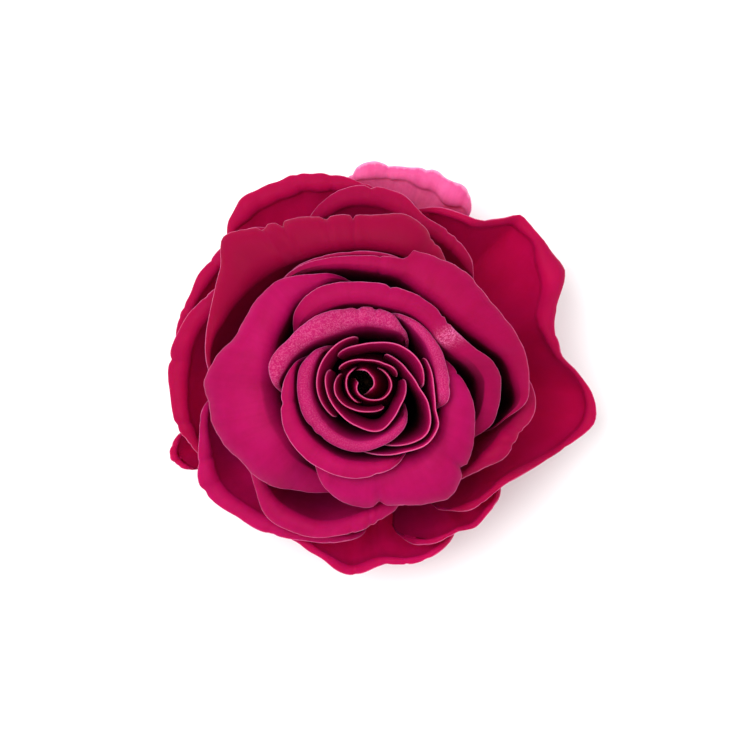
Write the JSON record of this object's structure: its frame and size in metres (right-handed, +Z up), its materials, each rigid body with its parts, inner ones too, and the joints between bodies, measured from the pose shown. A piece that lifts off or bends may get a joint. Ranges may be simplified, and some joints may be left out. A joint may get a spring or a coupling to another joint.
{
  "type": "preserved rose",
  "caption": "Stemless preserved rose head, dyed magenta, with a spiral bud, rolled middle petals, open outer petals, a receptacle, folded sepals and a cut stem stub",
  "frame": {"origin": "centre of the bounding box on the table, under the stub and the sepal tips", "axes": "+Z up out of the flower, the bud leans towards -Y, +X to the right when the flower is seen from -Y"},
  "size_m": [0.0634, 0.061, 0.0438],
  "materials": {
    "petal": "velvety, dyed",
    "petal_pale": "velvety, part dyed",
    "calyx": "dry, matt",
    "stem": "dry, cut",
    "stamen": "dry, matt"
  },
  "bodies": {
    "root": {"petal_heart_1": "petal", "petal_heart_2": "petal", "petal_heart_3": "petal", "petal_bud_1": "petal", "petal_bud_2": "petal", "petal_bud_3": "petal", "petal_bud_4": "petal", "petal_bud_5": "petal", "petal_bud_6": "petal", "petal_bud_7": "petal", "petal_roll_1": "petal", "petal_roll_2": "petal", "petal_roll_3": "petal", "petal_roll_4": "petal", "petal_roll_5": "petal", "petal_roll_6": "petal", "petal_roll_7": "petal", "petal_roll_8": "petal", "petal_roll_9": "petal", "petal_open_1": "petal", "petal_open_2": "petal", "petal_open_3": "petal", "petal_open_4": "petal", "petal_open_5": "petal", "petal_open_6": "petal", "petal_open_7": "petal", "petal_open_8": "petal", "petal_open_9": "petal", "petal_open_10": "petal", "petal_open_11": "petal", "petal_open_12": "petal", "petal_pale_guard": "petal_pale", "receptacle": "calyx", "stem_stub": "stem", "sepal_1": "calyx", "sepal_2": "calyx", "sepal_3": "calyx", "sepal_4": "calyx", "sepal_5": "calyx", "pistil": "stamen", "stamen_1": "stamen", "stamen_2": "stamen", "stamen_3": "stamen", "stamen_4": "stamen", "stamen_5": "stamen", "stamen_6": "stamen", "stamen_7": "stamen", "stamen_8": "stamen"}
  },
  "joints": []
}
